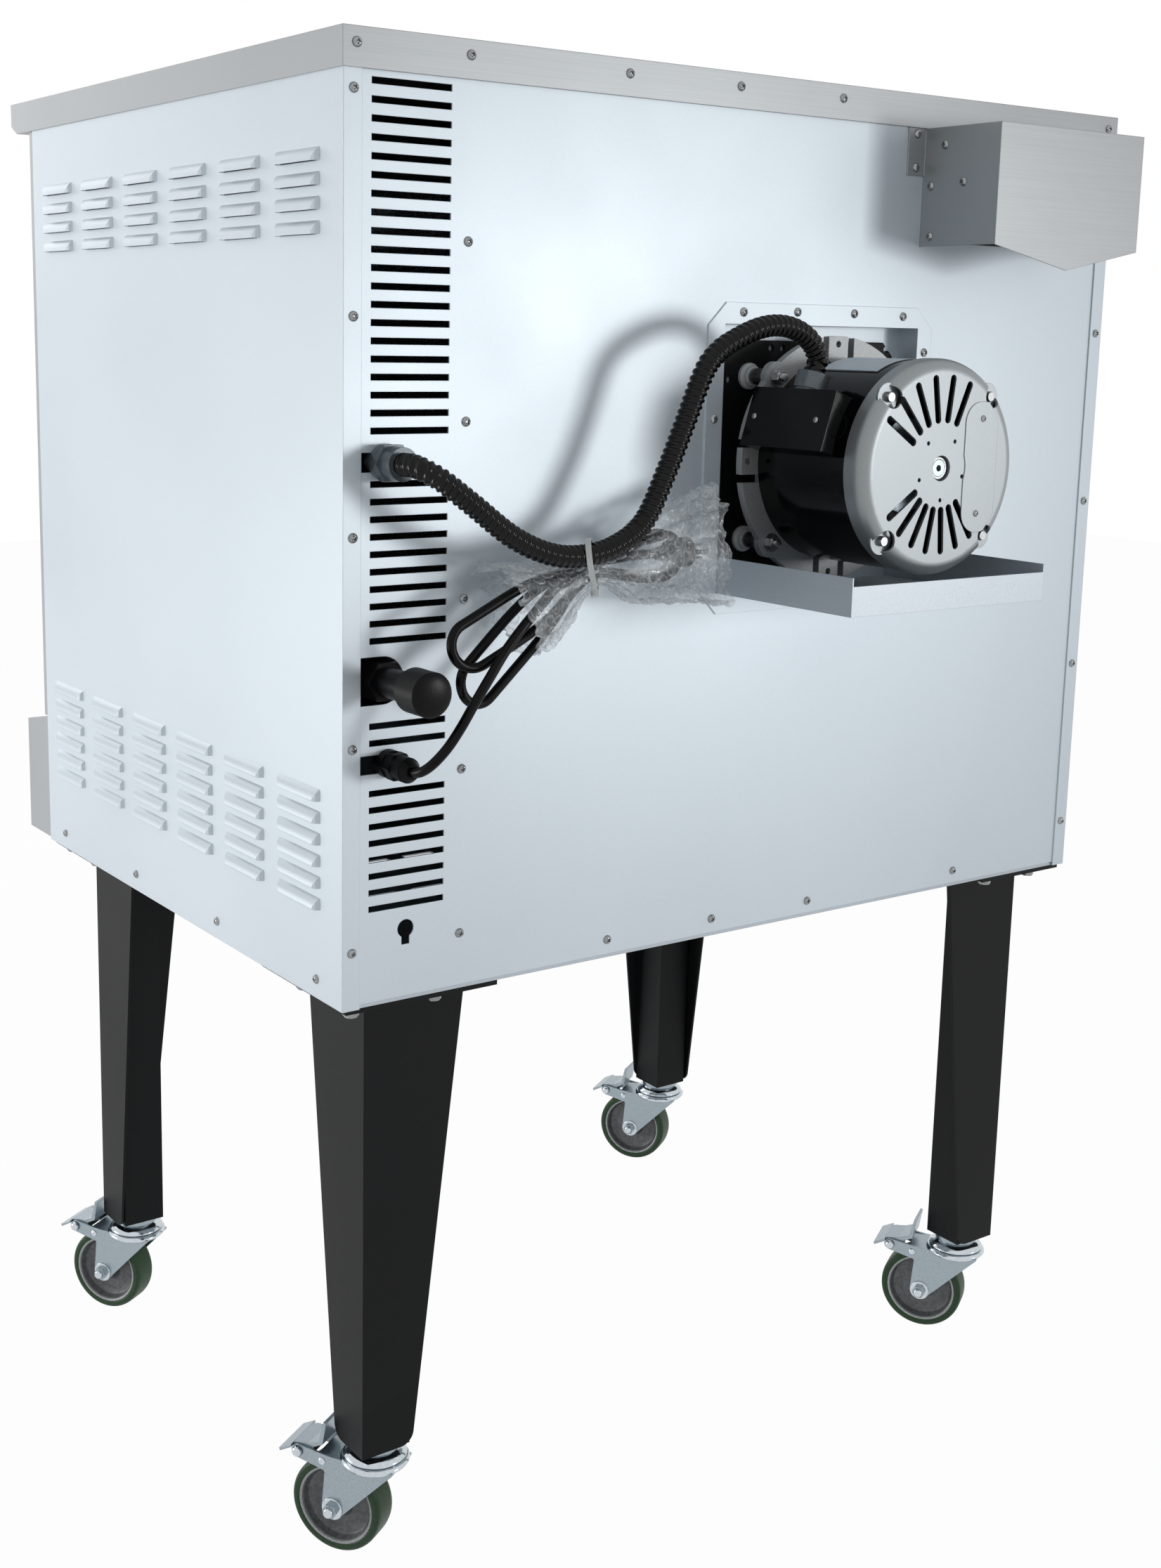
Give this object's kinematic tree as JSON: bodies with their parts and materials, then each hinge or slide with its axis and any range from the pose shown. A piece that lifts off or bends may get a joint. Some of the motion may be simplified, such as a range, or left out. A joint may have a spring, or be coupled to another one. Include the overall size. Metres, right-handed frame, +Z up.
{
  "type": "gas convection oven",
  "caption": "Floor-standing gas convection oven on tapered legs with casters: hinged glazed doors, slide-in racks, a blower chamber and its rear-mounted fan motor with conduit.",
  "frame": {"origin": "floor level, at the centre of the bounding box of the part", "axes": "+Z up, -Y towards the front with the doors, +Y towards the rear with the fan motor, +X to the left of someone who faces the rear"},
  "size_m": [0.9782, 0.988, 1.462],
  "materials": {
    "panel_steel": "satin pale grey-blue, fine speckle",
    "stainless": "brushed, satin",
    "enamel": "dark speckled vitreous enamel",
    "galvanised": "dull zinc coated sheet",
    "black_steel": "satin black",
    "motor_black": "gloss black enamel",
    "cast_metal": "as cast, matt",
    "drawn_aluminium": "smooth, semi gloss",
    "zinc": "bright zinc plated",
    "screw_steel": "bright",
    "black_pipe": "black iron pipe, satin",
    "conduit_black": "ribbed, gloss",
    "fitting_grey": "moulded nylon, grey",
    "black_plastic": "fine texture",
    "cord_rubber": "black cable sheath, satin",
    "clear_film": "clear cushioned film, glossy",
    "door_glass": "dark tinted",
    "handle_black": "satin",
    "rack_wire": "nickel plated wire",
    "tread_green": "dark green tread on a grey core"
  },
  "bodies": {
    "cabinet": {"base_pan": "galvanised", "rear_panel": "panel_steel", "right_side_panel": "panel_steel", "left_side_panel": "panel_steel", "top_cover": "stainless", "front_frame": "galvanised", "oven_cavity": "enamel", "fan_baffle": "enamel", "rack_guides": "rack_wire", "control_panel": "stainless", "lower_front_panel": "stainless", "burners": "galvanised", "gas_train": "black_pipe", "gas_inlet_pipe": "black_pipe", "gas_pipe_cap": "black_pipe", "flue_hood": "stainless", "motor_mount_frame": "panel_steel", "motor_plate": "black_steel", "motor_standoffs": "screw_steel", "motor_flange": "cast_metal", "motor_shell": "motor_black", "motor_rear_bell": "drawn_aluminium", "terminal_box": "motor_black", "motor_tray": "galvanised", "conduit": "conduit_black", "conduit_fittings": "fitting_grey", "cord_gland": "black_plastic", "power_cord": "cord_rubber", "cord_hank": "cord_rubber", "plug": "cord_rubber", "plug_wrap": "clear_film", "panel_screws": "screw_steel", "legs": "black_steel", "caster_stems": "zinc"},
    "fan": {"blower_wheel": "galvanised", "motor_rotor": "zinc"},
    "left_leaf": {"left_door": "stainless", "left_door_window": "door_glass", "left_door_handle": "handle_black"},
    "right_leaf": {"right_door": "stainless", "right_door_window": "door_glass", "right_door_handle": "handle_black"},
    "rocker": {"power_switch": "black_plastic"},
    "temperature_dial": {"temperature_knob": "black_plastic"},
    "timer_dial": {"timer_knob": "black_plastic"},
    "rack_low": {"oven_rack_1": "rack_wire"},
    "rack_mid": {"oven_rack_2": "rack_wire"},
    "rack_high": {"oven_rack_3": "rack_wire"},
    "swivel_1": {"caster_fork_1": "zinc"},
    "wheel_1": {"caster_wheel_1": "tread_green"},
    "brake_1": {"caster_brake_1": "zinc"},
    "swivel_2": {"caster_fork_2": "zinc"},
    "wheel_2": {"caster_wheel_2": "tread_green"},
    "brake_2": {"caster_brake_2": "zinc"},
    "swivel_3": {"caster_fork_3": "zinc"},
    "wheel_3": {"caster_wheel_3": "tread_green"},
    "brake_3": {"caster_brake_3": "zinc"},
    "swivel_4": {"caster_fork_4": "zinc"},
    "wheel_4": {"caster_wheel_4": "tread_green"},
    "brake_4": {"caster_brake_4": "zinc"}
  },
  "joints": [
    {"name": "left_door_hinge", "type": "hinge", "parent": "cabinet", "child": "left_leaf", "pos_m": [-0.47354, -0.441, 1.097], "axis": [0, 0, -1], "range_deg": [0, 120]},
    {"name": "right_door_hinge", "type": "hinge", "parent": "cabinet", "child": "right_leaf", "pos_m": [0.28746, -0.441, 1.097], "axis": [0, 0, 1], "range_deg": [0, 120]},
    {"name": "fan_spin", "type": "hinge", "parent": "cabinet", "child": "fan", "pos_m": [-0.06654, 0.367, 1.099], "axis": [0, 1, 0], "continuous": true},
    {"name": "rocker_tilt", "type": "hinge", "parent": "cabinet", "child": "rocker", "pos_m": [0.39196, -0.406, 1.305], "axis": [1, 0, 0], "range_deg": [-8, 8]},
    {"name": "temperature_turn", "type": "hinge", "parent": "cabinet", "child": "temperature_dial", "pos_m": [0.39196, -0.406, 1.175], "axis": [0, 1, 0], "range_deg": [0, 270]},
    {"name": "timer_turn", "type": "hinge", "parent": "cabinet", "child": "timer_dial", "pos_m": [0.39196, -0.406, 1.025], "axis": [0, 1, 0], "range_deg": [0, 300]},
    {"name": "rack_low_slide", "type": "slide", "parent": "cabinet", "child": "rack_low", "axis": [0, -1, 0], "range_m": [0, 0.024]},
    {"name": "rack_mid_slide", "type": "slide", "parent": "cabinet", "child": "rack_mid", "axis": [0, -1, 0], "range_m": [0, 0.024]},
    {"name": "rack_high_slide", "type": "slide", "parent": "cabinet", "child": "rack_high", "axis": [0, -1, 0], "range_m": [0, 0.024]},
    {"name": "swivel_1_turn", "type": "hinge", "parent": "cabinet", "child": "swivel_1", "pos_m": [0.39746, 0.223, 0.11], "axis": [0, 0, 1], "continuous": true},
    {"name": "wheel_1_spin", "type": "hinge", "parent": "swivel_1", "child": "wheel_1", "pos_m": [0.41674, 0.19142, 0.05], "axis": [0.8536, 0.521, 0], "continuous": true},
    {"name": "brake_1_press", "type": "hinge", "parent": "swivel_1", "child": "brake_1", "pos_m": [0.43758, 0.15728, 0.103], "axis": [0.8536, 0.521, 0], "range_deg": [0, 20]},
    {"name": "swivel_2_turn", "type": "hinge", "parent": "cabinet", "child": "swivel_2", "pos_m": [0.39746, -0.367, 0.11], "axis": [0, 0, 1], "continuous": true},
    {"name": "wheel_2_spin", "type": "hinge", "parent": "swivel_2", "child": "wheel_2", "pos_m": [0.41674, -0.39858, 0.05], "axis": [0.8536, 0.521, 0], "continuous": true},
    {"name": "brake_2_press", "type": "hinge", "parent": "swivel_2", "child": "brake_2", "pos_m": [0.43758, -0.43272, 0.103], "axis": [0.8536, 0.521, 0], "range_deg": [0, 20]},
    {"name": "swivel_3_turn", "type": "hinge", "parent": "cabinet", "child": "swivel_3", "pos_m": [-0.43854, -0.367, 0.11], "axis": [0, 0, 1], "continuous": true},
    {"name": "wheel_3_spin", "type": "hinge", "parent": "swivel_3", "child": "wheel_3", "pos_m": [-0.41926, -0.39858, 0.05], "axis": [0.8536, 0.521, 0], "continuous": true},
    {"name": "brake_3_press", "type": "hinge", "parent": "swivel_3", "child": "brake_3", "pos_m": [-0.39842, -0.43272, 0.103], "axis": [0.8536, 0.521, 0], "range_deg": [0, 20]},
    {"name": "swivel_4_turn", "type": "hinge", "parent": "cabinet", "child": "swivel_4", "pos_m": [-0.43854, 0.223, 0.11], "axis": [0, 0, 1], "continuous": true},
    {"name": "wheel_4_spin", "type": "hinge", "parent": "swivel_4", "child": "wheel_4", "pos_m": [-0.41926, 0.19142, 0.05], "axis": [0.8536, 0.521, 0], "continuous": true},
    {"name": "brake_4_press", "type": "hinge", "parent": "swivel_4", "child": "brake_4", "pos_m": [-0.39842, 0.15728, 0.103], "axis": [0.8536, 0.521, 0], "range_deg": [0, 20]}
  ]
}
